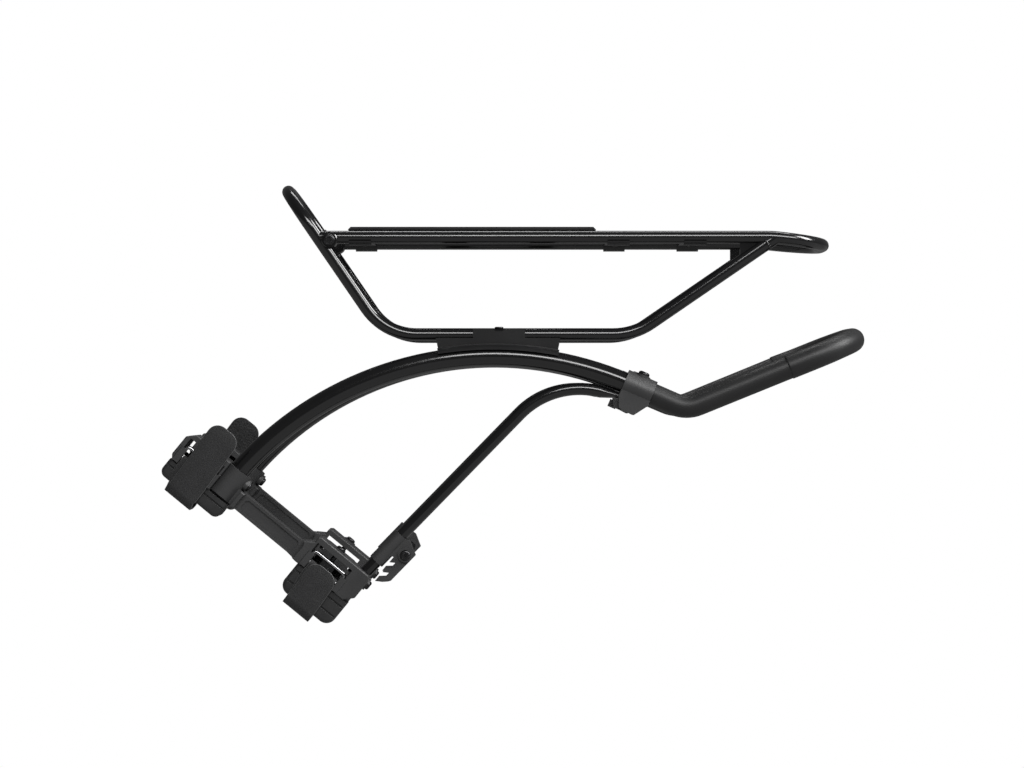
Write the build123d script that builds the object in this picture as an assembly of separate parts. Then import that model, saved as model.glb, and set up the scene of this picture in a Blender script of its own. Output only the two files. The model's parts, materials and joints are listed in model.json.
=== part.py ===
from build123d import *
import os
from math import asin, cos, degrees, radians, sin, tan

# Rear rack of a bicycle that straps to the seat stays, in millimetres.
# Frame: +Z up, -X towards the front of the bicycle, the rack's left side at -Y.
# The origin is the centre of the track plate's top face.
# The left side is modelled and mirrored in the XZ plane to make the right side.

os.makedirs("parts", exist_ok=True)

# --- tubes of the carrier -------------------------------------------------------------------------
RAIL_Y = 45.0               # lateral place of deck tube and side-frame tube
RAIL_R = 5.0                # outer radius of deck tube and side-frame tube
RAIL_WALL = 1.5
DECK_Z = -8.6               # height of the deck tube's centreline
DECK_DIP_X = 232.0          # the deck tube starts to dip here
DECK_END_X = 274.3          # centreline of the deck tube's rear cross run
DECK_END_Z = -13.3
DECK_DIP_R = 80.0
DECK_CORNER_R = 38.0

LOWER_Z = -83.6             # height of the pannier rails
FRONT_CORNER_X = -67.0      # corner between front leg and pannier rail
REAR_CORNER_X = 124.9       # corner between pannier rail and rear riser
FRONT_LEG_ANGLE = 55.6      # slope of the front leg, degrees from horizontal
RISER_ANGLE = 34.4          # slope of the rear riser
HOOP_TOP_Z = 28.8           # centreline of the hoop's cross run
HOOP_CORNER_R = 36.0
FRONT_BEND_R = 47.0
REAR_BEND_R = 52.0

# --- track plate and what holds it ----------------------------------------------------------------
TRACK_HALF_LENGTH = 96.0
TRACK_HALF_WIDTH = 36.0
TRACK_LIP_T = 2.2           # thickness of the raised track's overhanging lip
TRACK_WEB_HALF = 30.0       # half width under the lip
BASE_TOP_Z = -5.0           # top of the low part of the plate
BASE_BOTTOM_Z = -8.0
BASE_REAR_X = 186.0
BASE_HALF_WIDTH = 38.0
TRACK_CHAMFER = 3.5
SLOT_HALF = 3.5             # half width of the plate's long slots
SLOT_LENGTH = 46.0
SLOT_CENTRES = (-48.0, 48.0, 142.0)

BRACKET_CENTRES = {"front": -86.0, "middle": 113.0, "rear": 172.0}
BRACKET_LENGTH = 17.0
BRACKET_T = 3.0             # cross bar of a bracket
BRACKET_WRAP = 1.5          # wall that wraps under a deck tube
WRAP_INNER_RISE = 0.6       # the wrap's inner lip reaches this far above the tube's centre
WRAP_OUTER_DROP = 3.0       # its outer lip stops this far below the tube's centre
PLATE_SCREW_Y = 24.0
PLATE_SCREW_R = 2.0
PLATE_SCREW_HEAD_R = 3.6
PLATE_SCREW_HEAD_H = 2.0

LUG_X = -109.4
LUG_Z = -10.8
LUG_R = 6.2
LUG_INNER_Y = 38.6
LUG_OUTER_Y = 51.6
LUG_BOLT_R = 2.5
LUG_BOLT_LENGTH = 10.0
LUG_HEAD_R = 4.6
LUG_HEAD_H = 2.4

GUSSET_X = 206.5
GUSSET_T = 4.0

# --- arc tubes ------------------------------------------------------------------------------------
SIDE_Y = 55.0               # lateral place of arc tubes, struts and mount arms
ARC_R = 260.0               # bend radius of the arc tube's centreline
ARC_CENTRE_X = 16.8
ARC_CENTRE_Z = -360.4
ARC_TUBE_R = 8.0
ARC_WALL = 1.5
ARC_FRONT_ANGLE = 50.6      # slope of the arc tube where it enters the mount arm
ARC_REAR_ANGLE = 23.3       # slope of the arc tube in the rear collar
ARC_REAR_STRAIGHT = 18.0    # straight end inside the collar
SOCKET_OFFSET = 7.7         # from the arc's front end to the mount arm's centreline
SOCKET_DEPTH = 3.5          # the arc tube reaches this far past that centreline

# --- saddle bridge --------------------------------------------------------------------------------
SADDLE_FRONT_X = -27.5
SADDLE_REAR_X = 68.2
SADDLE_RAKE = 2.8           # the side plate's ends lean in by this much
SADDLE_TOP_Z = -86.2
SADDLE_T = 1.8
SADDLE_INNER_Y = 50.0
SADDLE_CAP_DROP = 2.9       # how far the cap laps down the arc tube's side
TAB_FRONT_X = 1.0
TAB_REAR_X = 41.0
TAB_TOP_Z = -78.8
NOTCH_HALF = 5.0
NOTCH_DEPTH = 2.4
BRIDGE_T = 2.0
BRIDGE_WINDOW = (50.0, 60.0)
SADDLE_SCREW_X = 21.0
SADDLE_SCREW_R = 2.0
SADDLE_HEAD_R = 3.4
SADDLE_HEAD_H = 1.4

# --- rear collar and loop -------------------------------------------------------------------------
COLLAR_R = 10.5
COLLAR_FRONT = -3.1         # along the tube, from the arc's rear end
COLLAR_REAR = 20.5
COLLAR_HALF_WIDTH = 9.0
COLLAR_BOLT_AT = 8.6
COLLAR_BOLT_R = 2.5
COLLAR_HEAD_R = 4.4
COLLAR_HEAD_H = 2.6
COLLAR_NUT_H = 4.0
COLLAR_NUT_Z = -14.4        # top of the nut, under the strut's flat end
COLLAR_NUT_FLAT = 8.0
STRUT_END_DROP = -10.8      # the strut's flat end lies this far under the tube's centreline
LOOP_TUBE_R = 6.4
LOOP_WALL = 1.4
LOOP_INSERT = 2.0
LOOP_LOW_X = 164.5          # lowest corner of the loop
LOOP_LOW_R = 24.0
LOOP_RISE_ANGLE = 22.05
LOOP_END_X = 296.9
LOOP_END_R = 42.0
GRIP_R = 8.75
GRIP_END_R = 9.3
GRIP_SEAM_X = 243.0
GRIP_BORE_R = 6.45

# --- struts ---------------------------------------------------------------------------------------
STRUT_R = 4.75
STRUT_WALL = 1.25
STRUT_ANGLE = 45.7
STRUT_X = -39.5             # a point on the strut's straight part
STRUT_Z = -223.0
STRUT_TOP_ANGLE = 12.0      # downward slope after the bend
STRUT_BEND_R = 64.0
STRUT_LOWER_END = -80.0     # along the strut, from that point
STRUT_ROUND_END = 3.0       # straight round run after the bend
STRUT_FLAT_HALF_W = 6.6
STRUT_FLAT_HALF_T = 2.35
STRUT_FLAT_LENGTH = 15.0

# --- mount arms: u runs along the arm, o outwards, v towards the seat stay --------------------------
ARM_HALF_T = 12.0
ARM_WEB_HALF_T = 6.5
ARM_HALF_H = 7.0
ARM_TOP_V = -18.9
ARM_BOTTOM_V = 8.0
ARM_FRONT_U = -47.2
ARM_REAR_U = 130.3
LOWER_BODY_U = 79.8
FRAME_REAR_U = -8.0
WEB_POCKET = (15.0, 75.0)
SOCKET_R = 11.25
SOCKET_TOP_V = -18.2
SOCKET_BOTTOM_V = 6.0
STATIONS = {"upper": -26.5, "lower": 98.8}

RECESS_HALF = 16.8          # pocket for the ring, in the arm's outer face
RECESS_FLOOR = 6.8
WINDOW_HALF = 15.8          # opening through the arm
WINDOW_TOP_V = -14.0
WINDOW_BOTTOM_V = 3.8
INNER_FLOOR = -11.0
KEEPER_IN = -15.4
KEEPER_OUT = -13.4
KEEPER_HALF_H = 1.5
KEEPER_HALF_L = 18.0
CHEEK_U = (13.0, 18.5)      # the cheeks over the ring's legs, from the station's middle
CHEEK_O = (11.8, 13.0)
CHEEK_V = (-5.5, 7.0)
CHEEK_ROUND = 0.8
HEAD_PAD_HALF = 5.0
HEAD_PAD_H = 1.0

CLAMP_BOLT_V = -12.0
CLAMP_BOLT_R = 2.0
CLAMP_BOSS_R = 5.0
CLAMP_HEAD_R = 3.6
CLAMP_HEAD_H = 2.1
CLAMP_TIP_GAP = 0.25        # the bolt's flat tip stops this far off its tube
INSERT_R = 2.9
INSERT_L = 2.6
ARC_BOSS_U = 13.2
STRUT_BOSS_U = 131.6

# --- pads -----------------------------------------------------------------------------------------
STAY_V = 18.6               # centre of the seat stay
STAY_R = 6.5
PAD_HALF_T = 11.0
PAD_U = {"upper": (-46.2, 10.8), "lower": (79.8, 128.8)}
PAD_BOTTOM_V = {"upper": 22.0, "lower": 31.5}
PAD_GROOVES = {"upper": (12.2,), "lower": (12.8, 22.3)}
PAD_CORNER_R = {"upper": 5.5, "lower": 8.0}
PAD_EDGE_R = 3.2            # round of the long edges that the strap passes
GROOVE_W = 1.4
GROOVE_DEPTH = 1.0

# --- tension ring, nut and bolt -------------------------------------------------------------------
RING_WIRE_R = 1.5
RING_O = 10.0
RING_HALF_L = 14.9
RING_TOP_V = -7.8
RING_LOW_V = 1.6
RING_CORNER_R = 2.6
NUT_HALF_L = 5.5
NUT_TOP_V = -6.2
NUT_LOW_V = -1.8
NUT_IN = 0.5
NUT_OUT = 11.3
BOLT_O = 4.5
BOLT_R = 2.0
BOLT_HOLE_R = 2.05
BOLT_HEAD_R = 3.8
BOLT_HEAD_H = 2.2
BOLT_TIP_V = 2.8
BOLT_HEAD_GAP = 0.1

# --- straps ---------------------------------------------------------------------------------------
STRAP_W = 25.0
STRAP_T = 1.2
STRAP_OUTER_O = 12.2        # first layer, outer leg
STRAP_INNER_O = -12.4       # first layer, inner leg
STRAP_BACK_O = -16.4        # second layer, inner leg
FLAP_O = 13.8               # second layer, outer leg
STRAP_EYE_R = 1.6
FOLD_V = -4.3
LAYER_STEP = 1.4
BEND_FIRST_R = 5.0
BEND_BACK_R = 8.0
BEND_FLAP_R = 6.4
STRAP_BOTTOM_V = {"upper": 27.5, "lower": 36.1}
FLAP_END_V = {"upper_left": -36.8, "upper_right": -42.3, "lower_left": -2.4, "lower_right": -4.0}
FLAP_CORNER_R = 9.0
FLAP_GAP = 0.3

# --- pannier hook clips: s runs up the strut, o outwards, n away from the rack's front ---------------
CLIP_BORE_R = 4.8
CLIP_R = 6.2
CLIP_LOW_S = -48.0
CLIP_TOP_S = -20.2
CLIP_PLATE_HALF = 4.5
CLIP_EAR_HALF = 6.5
CLIP_BOLT_S = -28.7
CLIP_BOLT_N = 12.6
CLIP_EAR_R = 5.6
CLIP_SLIT = 1.2
CLIP_SLIT_S = -36.0
CLIP_STEM_N = (13.2, 18.4)
CLIP_BOLT_R = 2.0
CLIP_HEAD_R = 4.0
CLIP_HEAD_H = 2.3
CLIP_NUT_FLAT = 7.0
CLIP_NUT_H = 3.0

SOCKET_DEPTH_HEX = 1.2      # depth of the hexagon socket in a bolt head
CUT = 60.0                  # longer than any piece that a cutting tool has to cross


# --- frames of reference --------------------------------------------------------------------------
def arc_point(angle):
    """Point on the left arc's centreline, angle in degrees from its top towards the rear."""
    x = ARC_CENTRE_X + ARC_R * sin(radians(angle))
    z = ARC_CENTRE_Z + ARC_R * cos(radians(angle))
    return Vector(x, -SIDE_Y, z)


ARC_FRONT = arc_point(-ARC_FRONT_ANGLE)
ARC_REAR = arc_point(ARC_REAR_ANGLE)
STAY_DIR = Vector(-cos(radians(ARC_FRONT_ANGLE)), 0, -sin(radians(ARC_FRONT_ANGLE)))
ARM_DIR = Vector(sin(radians(ARC_FRONT_ANGLE)), 0, -cos(radians(ARC_FRONT_ANGLE)))
ARM = Plane(origin=ARC_FRONT + STAY_DIR * SOCKET_OFFSET, x_dir=ARM_DIR, z_dir=STAY_DIR)

COLLAR_DIR = Vector(cos(radians(ARC_REAR_ANGLE)), 0, -sin(radians(ARC_REAR_ANGLE)))
COLLAR_UP = Vector(sin(radians(ARC_REAR_ANGLE)), 0, cos(radians(ARC_REAR_ANGLE)))
COLLAR = Plane(origin=ARC_REAR, x_dir=COLLAR_DIR, z_dir=COLLAR_UP)

STRUT_DIR = Vector(cos(radians(STRUT_ANGLE)), 0, sin(radians(STRUT_ANGLE)))
STRUT_OUT = Vector(sin(radians(STRUT_ANGLE)), 0, -cos(radians(STRUT_ANGLE)))
STRUT_POINT = Vector(STRUT_X, -SIDE_Y, STRUT_Z)
STRUT = Plane(origin=STRUT_POINT, x_dir=STRUT_DIR, z_dir=STRUT_OUT)


# --- small helpers --------------------------------------------------------------------------------
def block(x, y, z):
    """Box between two coordinates on each axis."""
    size = (x[1] - x[0], y[1] - y[0], z[1] - z[0])
    centre = (sum(x) / 2, sum(y) / 2, sum(z) / 2)
    return Pos(*centre) * Box(*size)


def rod(start, end, radius):
    """Cylinder from one point to another."""
    start = Vector(*start)
    axis = Vector(*end) - start
    return extrude(Plane(origin=start, z_dir=axis) * Circle(radius), axis.length)


def slab(points, y):
    """Outline of (x, z) points, extruded between two y values."""
    outline = Plane.XZ.offset(-y[0]) * Polygon(*points, align=None)
    return extrude(outline, y[1] - y[0], dir=(0, 1, 0))


def tube(path, outer, inner=0.0):
    """Round tube swept along a path."""
    section = Circle(outer)
    if inner:
        section -= Circle(inner)
    return sweep(Plane(origin=path @ 0, z_dir=path % 0) * section, path=path)


def largest(shape):
    """The biggest solid, which leaves out the slivers of a mitre cut."""
    return max(shape.solids(), key=lambda solid: solid.volume)


def mirrored(shape):
    return mirror(shape, about=Plane.XZ)


def both(shape):
    """A left piece and its mirror image, as one group of solids."""
    return shape.solids() + mirrored(shape).solids()


def save(name, shape):
    """Write one node, which is a solid or a group of separate solids."""
    solids = shape.solids() if hasattr(shape, "solids") else shape
    body = solids[0] if len(solids) == 1 else Compound(list(solids))
    export_step(body, "parts/" + name + ".step")


def save_pair(name, left):
    save(name + "_left", left)
    save(name + "_right", mirrored(left))


def button_bolt(radius, length, head_r, head_h):
    """Bolt with a domed head above z = 0 and its shank below."""
    head = Cylinder(head_r, head_h, align=(Align.CENTER, Align.CENTER, Align.MIN))
    head = fillet(head.edges().sort_by(Axis.Z)[-1], head_h * 0.75)
    shank = Cylinder(radius, length, align=(Align.CENTER, Align.CENTER, Align.MAX))
    socket = extrude(Plane.XY.offset(head_h - SOCKET_DEPTH_HEX) * RegularPolygon(radius * 0.72, 6), head_h)
    return head + shank - socket


def hex_nut(across_flats, height, bore):
    """Nut whose lower face is at z = 0."""
    outline = RegularPolygon(across_flats / 2, 6, major_radius=False) - Circle(bore)
    return extrude(outline, height)


def facing(origin, direction):
    """Plane whose z axis points along a direction."""
    return Plane(origin=origin, z_dir=direction)


# --- carrier tubes --------------------------------------------------------------------------------
def deck_path():
    front_x = front_leg_x(DECK_Z)
    near = [(front_x, -RAIL_Y, DECK_Z), (DECK_DIP_X, -RAIL_Y, DECK_Z), (DECK_END_X, -RAIL_Y, DECK_END_Z)]
    far = [(x, -y, z) for x, y, z in reversed(near)]
    radii = [DECK_DIP_R, DECK_CORNER_R, DECK_CORNER_R, DECK_DIP_R]
    return FilletPolyline(*near, *far, radius=radii)


def front_leg_x(z):
    """X of the front leg's centreline at a height."""
    return FRONT_CORNER_X - (z - LOWER_Z) / tan(radians(FRONT_LEG_ANGLE))


def riser_x(z):
    """X of the rear riser's centreline at a height."""
    return REAR_CORNER_X + (z - LOWER_Z) / tan(radians(RISER_ANGLE))


def side_path():
    near = [
        (riser_x(DECK_Z), -RAIL_Y, DECK_Z),
        (REAR_CORNER_X, -RAIL_Y, LOWER_Z),
        (FRONT_CORNER_X, -RAIL_Y, LOWER_Z),
        (front_leg_x(HOOP_TOP_Z), -RAIL_Y, HOOP_TOP_Z),
    ]
    far = [(x, -y, z) for x, y, z in reversed(near)]
    radii = [REAR_BEND_R, FRONT_BEND_R, HOOP_CORNER_R, HOOP_CORNER_R, FRONT_BEND_R, REAR_BEND_R]
    return FilletPolyline(*near, *far, radius=radii)


def front_lug():
    """Turned boss welded into the corner of deck tube and front leg."""
    boss = rod((LUG_X, -LUG_INNER_Y, LUG_Z), (LUG_X, -LUG_OUTER_Y, LUG_Z), LUG_R)
    boss = chamfer(boss.edges().filter_by(GeomType.CIRCLE), 0.6)
    hole = rod((LUG_X, -LUG_OUTER_Y, LUG_Z), (LUG_X, -LUG_OUTER_Y + LUG_BOLT_LENGTH, LUG_Z), LUG_BOLT_R)
    return boss - hole


def front_lug_bolt():
    place = facing((LUG_X, -LUG_OUTER_Y, LUG_Z), (0, -1, 0))
    return place * button_bolt(LUG_BOLT_R, LUG_BOLT_LENGTH, LUG_HEAD_R, LUG_HEAD_H)


def rear_gusset(deck_solid, riser_solid):
    """Small plate in the corner between deck tube and riser."""
    low_z = LOWER_Z + (GUSSET_X - REAR_CORNER_X) * tan(radians(RISER_ANGLE))
    tip_x = riser_x(DECK_Z)
    outline = [(GUSSET_X, DECK_Z), (tip_x, DECK_Z), (GUSSET_X, low_z)]
    plate = slab(outline, (-RAIL_Y - GUSSET_T / 2, -RAIL_Y + GUSSET_T / 2))
    return largest(plate - deck_solid - riser_solid)


# --- track plate and brackets ---------------------------------------------------------------------
def screw_places():
    return [(x, side * PLATE_SCREW_Y) for x in BRACKET_CENTRES.values() for side in (-1, 1)]


def track_plate():
    """Low plate with a raised, T-shaped track for a sliding bag foot."""
    base = block((-TRACK_HALF_LENGTH, BASE_REAR_X), (-BASE_HALF_WIDTH, BASE_HALF_WIDTH),
                 (BASE_BOTTOM_Z, BASE_TOP_Z))
    length = (-TRACK_HALF_LENGTH, TRACK_HALF_LENGTH)
    web = block(length, (-TRACK_WEB_HALF, TRACK_WEB_HALF), (BASE_TOP_Z, 0))
    lip = block(length, (-TRACK_HALF_WIDTH, TRACK_HALF_WIDTH), (-TRACK_LIP_T, 0))
    track = web + lip
    ends = track.edges().filter_by(Axis.Y).filter_by(lambda e: abs(e.center().Z) < 0.01)
    track = chamfer(ends, TRACK_CHAMFER * 0.6)
    plate = base + track
    for x in SLOT_CENTRES:
        slot = Pos(x, 0, BASE_BOTTOM_Z) * extrude(SlotOverall(SLOT_LENGTH, 2 * SLOT_HALF), -2 * BASE_BOTTOM_Z)
        for side in (-1, 1):
            plate -= Pos(0, side * SLOT_HALF * 2, 0) * slot
    for x, y in screw_places():
        plate -= rod((x, y, BASE_BOTTOM_Z), (x, y, 1), PLATE_SCREW_R)
        seat = 0 if abs(x) < TRACK_HALF_LENGTH else BASE_TOP_Z
        if seat == 0:
            plate -= rod((x, y, -PLATE_SCREW_HEAD_H), (x, y, 1), PLATE_SCREW_HEAD_R)
    return plate


def cross_bracket(x):
    """Bar between the deck tubes whose ends wrap under them."""
    bar = block((-BRACKET_LENGTH / 2, BRACKET_LENGTH / 2), (-RAIL_Y, RAIL_Y),
                (BASE_BOTTOM_Z - BRACKET_T, BASE_BOTTOM_Z))
    wrap = rod((-BRACKET_LENGTH / 2, 0, 0), (BRACKET_LENGTH / 2, 0, 0), RAIL_R + BRACKET_WRAP)
    wrap -= block((-CUT, CUT), (-CUT, CUT), (WRAP_INNER_RISE, CUT))
    wrap -= block((-CUT, CUT), (-CUT, 0), (-WRAP_OUTER_DROP, CUT))
    left_end = Pos(0, -RAIL_Y, DECK_Z) * wrap
    bar = bar + left_end + mirrored(left_end)
    for side in (-1, 1):
        bar -= rod((-CUT, side * RAIL_Y, DECK_Z), (CUT, side * RAIL_Y, DECK_Z), RAIL_R)
    bar = Pos(x, 0, 0) * largest(bar)
    for y in (-PLATE_SCREW_Y, PLATE_SCREW_Y):
        bar -= rod((x, y, -CUT), (x, y, CUT), PLATE_SCREW_R)
    return bar


def plate_screws():
    screws = []
    for x, y in screw_places():
        top = -PLATE_SCREW_HEAD_H if abs(x) < TRACK_HALF_LENGTH else BASE_TOP_Z
        length = top - (BASE_BOTTOM_Z - BRACKET_T) + 1.0
        bolt = button_bolt(PLATE_SCREW_R, length, PLATE_SCREW_HEAD_R, PLATE_SCREW_HEAD_H)
        screws += (Pos(x, y, top) * bolt).solids()
    return screws


# --- saddle bridge --------------------------------------------------------------------------------
def arc_sweep(section, first, last):
    """Turn a (y, radius) section about the arc's axis, between two X places."""
    start = degrees(asin((first - ARC_CENTRE_X) / ARC_R))
    end = degrees(asin((last - ARC_CENTRE_X) / ARC_R))
    axis = Axis((ARC_CENTRE_X, 0, ARC_CENTRE_Z), (0, 1, 0))
    turned = revolve(section, axis=axis, revolution_arc=end - start)
    return turned.rotate(axis, start)


def arc_section(sketch):
    """Place a sketch in the plane through the arc's top, x outwards to the left, y up."""
    plane = Plane(origin=(ARC_CENTRE_X, -SIDE_Y, ARC_CENTRE_Z + ARC_R), x_dir=(0, -1, 0), z_dir=(-1, 0, 0))
    return plane * sketch


def saddle_side():
    """Left half: side plate, tab beside the rail, and a cap over the arc tube."""
    top = ARC_CENTRE_Z + ARC_R
    outline = [
        (SADDLE_FRONT_X, SADDLE_TOP_Z),
        (TAB_FRONT_X, SADDLE_TOP_Z),
        (TAB_FRONT_X, TAB_TOP_Z),
        ((TAB_FRONT_X + TAB_REAR_X) / 2 - NOTCH_HALF, TAB_TOP_Z),
        ((TAB_FRONT_X + TAB_REAR_X) / 2 - NOTCH_HALF / 2, TAB_TOP_Z - NOTCH_DEPTH),
        ((TAB_FRONT_X + TAB_REAR_X) / 2 + NOTCH_HALF / 2, TAB_TOP_Z - NOTCH_DEPTH),
        ((TAB_FRONT_X + TAB_REAR_X) / 2 + NOTCH_HALF, TAB_TOP_Z),
        (TAB_REAR_X, TAB_TOP_Z),
        (TAB_REAR_X, SADDLE_TOP_Z),
        (SADDLE_REAR_X, SADDLE_TOP_Z),
        (SADDLE_REAR_X - SADDLE_RAKE, top),
        (SADDLE_FRONT_X + SADDLE_RAKE, top),
    ]
    plate = slab(outline, (-SADDLE_INNER_Y - SADDLE_T, -SADDLE_INNER_Y))
    ring = Circle(ARC_TUBE_R + SADDLE_T) - Circle(ARC_TUBE_R)
    cap = ring & Pos(0, ARC_TUBE_R - SADDLE_CAP_DROP + ARC_TUBE_R) * Rectangle(CUT, 2 * ARC_TUBE_R)
    front = SADDLE_FRONT_X + SADDLE_RAKE
    rear = SADDLE_REAR_X - SADDLE_RAKE
    side = plate - arc_sweep(arc_section(Circle(ARC_TUBE_R + 0.5)), SADDLE_FRONT_X - 5, SADDLE_REAR_X + 5)
    return side + arc_sweep(arc_section(cap), front, rear)


def saddle_bridge():
    """Both sides joined by a plate under the pannier rails."""
    length = (SADDLE_FRONT_X + SADDLE_RAKE, SADDLE_REAR_X - SADDLE_RAKE)
    width = (-SADDLE_INNER_Y - 1, SADDLE_INNER_Y + 1)
    plate = block(length, width, (LOWER_Z - RAIL_R - BRIDGE_T, LOWER_Z - RAIL_R))
    middle = Pos(sum(length) / 2, 0, LOWER_Z - CUT / 2)
    plate -= middle * extrude(RectangleRounded(BRIDGE_WINDOW[0], BRIDGE_WINDOW[1], 12), CUT)
    left = saddle_side()
    bridge = plate + left + mirrored(left)
    for side in (-1, 1):
        bridge -= rod((SADDLE_SCREW_X, side * RAIL_Y, LOWER_Z - CUT), (SADDLE_SCREW_X, side * RAIL_Y, 0),
                      SADDLE_SCREW_R)
    return largest(bridge)


def saddle_screw():
    """Screw from below, through the bridge plate and the rail, with a low dome on the rail's top."""
    length = 2 * RAIL_R + BRIDGE_T
    place = facing((SADDLE_SCREW_X, -RAIL_Y, LOWER_Z - RAIL_R - BRIDGE_T), (0, 0, -1))
    screw = place * button_bolt(SADDLE_SCREW_R, length, SADDLE_HEAD_R, SADDLE_HEAD_H)
    dome = Cylinder(SADDLE_HEAD_R, 1.0, align=(Align.CENTER, Align.CENTER, Align.MIN))
    dome = fillet(dome.edges().sort_by(Axis.Z)[-1], 0.8)
    return screw + Pos(SADDLE_SCREW_X, -RAIL_Y, LOWER_Z + RAIL_R) * dome


# --- arc tubes, collars and loop ------------------------------------------------------------------
def arc_path():
    front_end = ARC_FRONT + STAY_DIR * (SOCKET_OFFSET + SOCKET_DEPTH)
    rear_end = ARC_REAR + COLLAR_DIR * ARC_REAR_STRAIGHT
    middle = arc_point((ARC_REAR_ANGLE - ARC_FRONT_ANGLE) / 2)
    edges = Line(front_end, ARC_FRONT) + ThreePointArc(ARC_FRONT, middle, ARC_REAR) + Line(ARC_REAR, rear_end)
    return Wire(edges.edges())


def collar_bolt_hole(radius):
    """Cutter along the collar bolt's axis."""
    return COLLAR * rod((COLLAR_BOLT_AT, 0, -CUT / 2), (COLLAR_BOLT_AT, 0, CUT / 2), radius)


def arc_tube():
    return tube(arc_path(), ARC_TUBE_R, ARC_TUBE_R - ARC_WALL) - collar_bolt_hole(COLLAR_BOLT_R)


def loop_point(along):
    """Point on the collar's axis, behind the arc tube's rear end."""
    return ARC_REAR + COLLAR_DIR * along


def loop_corners():
    low = loop_point((LOOP_LOW_X - ARC_REAR.X) / COLLAR_DIR.X)
    end_z = low.Z + (LOOP_END_X - LOOP_LOW_X) * tan(radians(LOOP_RISE_ANGLE))
    return low, Vector(LOOP_END_X, -SIDE_Y, end_z)


def flipped(point):
    return Vector(point.X, -point.Y, point.Z)


def loop_tube():
    start = loop_point(LOOP_INSERT)
    low, end = loop_corners()
    points = [start, low, end, flipped(end), flipped(low), flipped(start)]
    radii = [LOOP_LOW_R, LOOP_END_R, LOOP_END_R, LOOP_LOW_R]
    shape = tube(FilletPolyline(*points, radius=radii), LOOP_TUBE_R, LOOP_TUBE_R - LOOP_WALL)
    hole = collar_bolt_hole(COLLAR_BOLT_R)
    return shape - hole - mirrored(hole)


def loop_grip():
    """Two leg sleeves and one thicker sleeve round the rear end."""
    start = loop_point(COLLAR_REAR + 0.3)
    low, end = loop_corners()
    seam = low + (end - low) * ((GRIP_SEAM_X - low.X) / (end.X - low.X))
    leg = tube(FilletPolyline(start, low, seam, radius=LOOP_LOW_R), GRIP_R, GRIP_BORE_R)
    around = FilletPolyline(seam, end, flipped(end), flipped(seam), radius=LOOP_END_R)
    sleeve = tube(around, GRIP_END_R, GRIP_BORE_R)
    sleeve = fillet(sleeve.edges().filter_by(GeomType.CIRCLE).filter_by(is_sleeve_rim), 0.8)
    return both(leg) + sleeve.solids()


def is_sleeve_rim(edge):
    """True for the outer edge of the end sleeve's two mouths."""
    return abs(edge.radius - GRIP_END_R) < 0.01 and edge.center().X < GRIP_SEAM_X + 5


def rear_collar():
    """Clamp body round the joint of arc tube and loop, with the strut's flat end below."""
    body = rod((COLLAR_FRONT, 0, 0), (COLLAR_REAR, 0, 0), COLLAR_R)
    outline = [(COLLAR_FRONT, 4), (COLLAR_FRONT, -11.0), (0.5, -19.4), (13.1, -20.5), (COLLAR_REAR, -9.5),
               (COLLAR_REAR, 4)]
    lower = slab(outline, (-COLLAR_HALF_WIDTH, COLLAR_HALF_WIDTH))
    lower = fillet(lower.edges().filter_by(Axis.Y).sort_by(Axis.Z)[:2], 1.5)
    boss = block((COLLAR_FRONT - 0.4, 3.0), (-4.0, 4.0), (-20.8, -14.6))
    body = body + lower + boss
    body += rod((COLLAR_BOLT_AT, 0, 0), (COLLAR_BOLT_AT, 0, COLLAR_R + 0.6), COLLAR_HEAD_R + 1.2)
    body = COLLAR * body
    body -= tube(arc_path(), ARC_TUBE_R)
    body -= COLLAR * rod((0, 0, 0), (CUT, 0, 0), LOOP_TUBE_R + 0.05)
    nut_pocket = Pos(COLLAR_BOLT_AT, 0, COLLAR_NUT_Z) * hex_nut(COLLAR_NUT_FLAT, -CUT / 2, 0.1)
    return body - collar_bolt_hole(COLLAR_BOLT_R) - COLLAR * nut_pocket


def collar_bolt():
    top = COLLAR_R + 0.6
    length = top - COLLAR_NUT_Z + COLLAR_NUT_H
    bolt = button_bolt(COLLAR_BOLT_R, length, COLLAR_HEAD_R, COLLAR_HEAD_H)
    return COLLAR * Pos(COLLAR_BOLT_AT, 0, top) * bolt


def collar_nut():
    nut = hex_nut(COLLAR_NUT_FLAT, COLLAR_NUT_H, COLLAR_BOLT_R)
    return COLLAR * Pos(COLLAR_BOLT_AT, 0, COLLAR_NUT_Z - COLLAR_NUT_H) * nut


# --- struts ---------------------------------------------------------------------------------------
def strut_tube():
    """Straight tube, one bend, and an end flattened to go under the arc tube."""
    flat_start = ARC_REAR + COLLAR_DIR * COLLAR_FRONT + COLLAR_UP * STRUT_END_DROP
    down = Vector(cos(radians(STRUT_TOP_ANGLE)), 0, -sin(radians(STRUT_TOP_ANGLE)))
    gap = flat_start - STRUT_POINT
    run = (gap.X * down.Z - gap.Z * down.X) / (STRUT_DIR.X * down.Z - STRUT_DIR.Z * down.X)
    corner = STRUT_POINT + STRUT_DIR * run
    half_turn = radians((STRUT_ANGLE + STRUT_TOP_ANGLE) / 2)
    round_end = corner + down * (STRUT_BEND_R * tan(half_turn) + STRUT_ROUND_END)
    lower_end = STRUT_POINT + STRUT_DIR * STRUT_LOWER_END
    path = FilletPolyline(lower_end, corner, round_end, radius=STRUT_BEND_R)
    shape = tube(path, STRUT_R, STRUT_R - STRUT_WALL)
    first = Plane(origin=round_end, x_dir=(0, 1, 0), z_dir=down) * Circle(STRUT_R)
    oval = Ellipse(STRUT_FLAT_HALF_W, STRUT_FLAT_HALF_T)
    second = Plane(origin=flat_start, x_dir=(0, 1, 0), z_dir=COLLAR_DIR) * oval
    shape += loft([first, second])
    shape += extrude(second, STRUT_FLAT_LENGTH)
    return largest(shape - collar_bolt_hole(COLLAR_BOLT_R))


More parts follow.
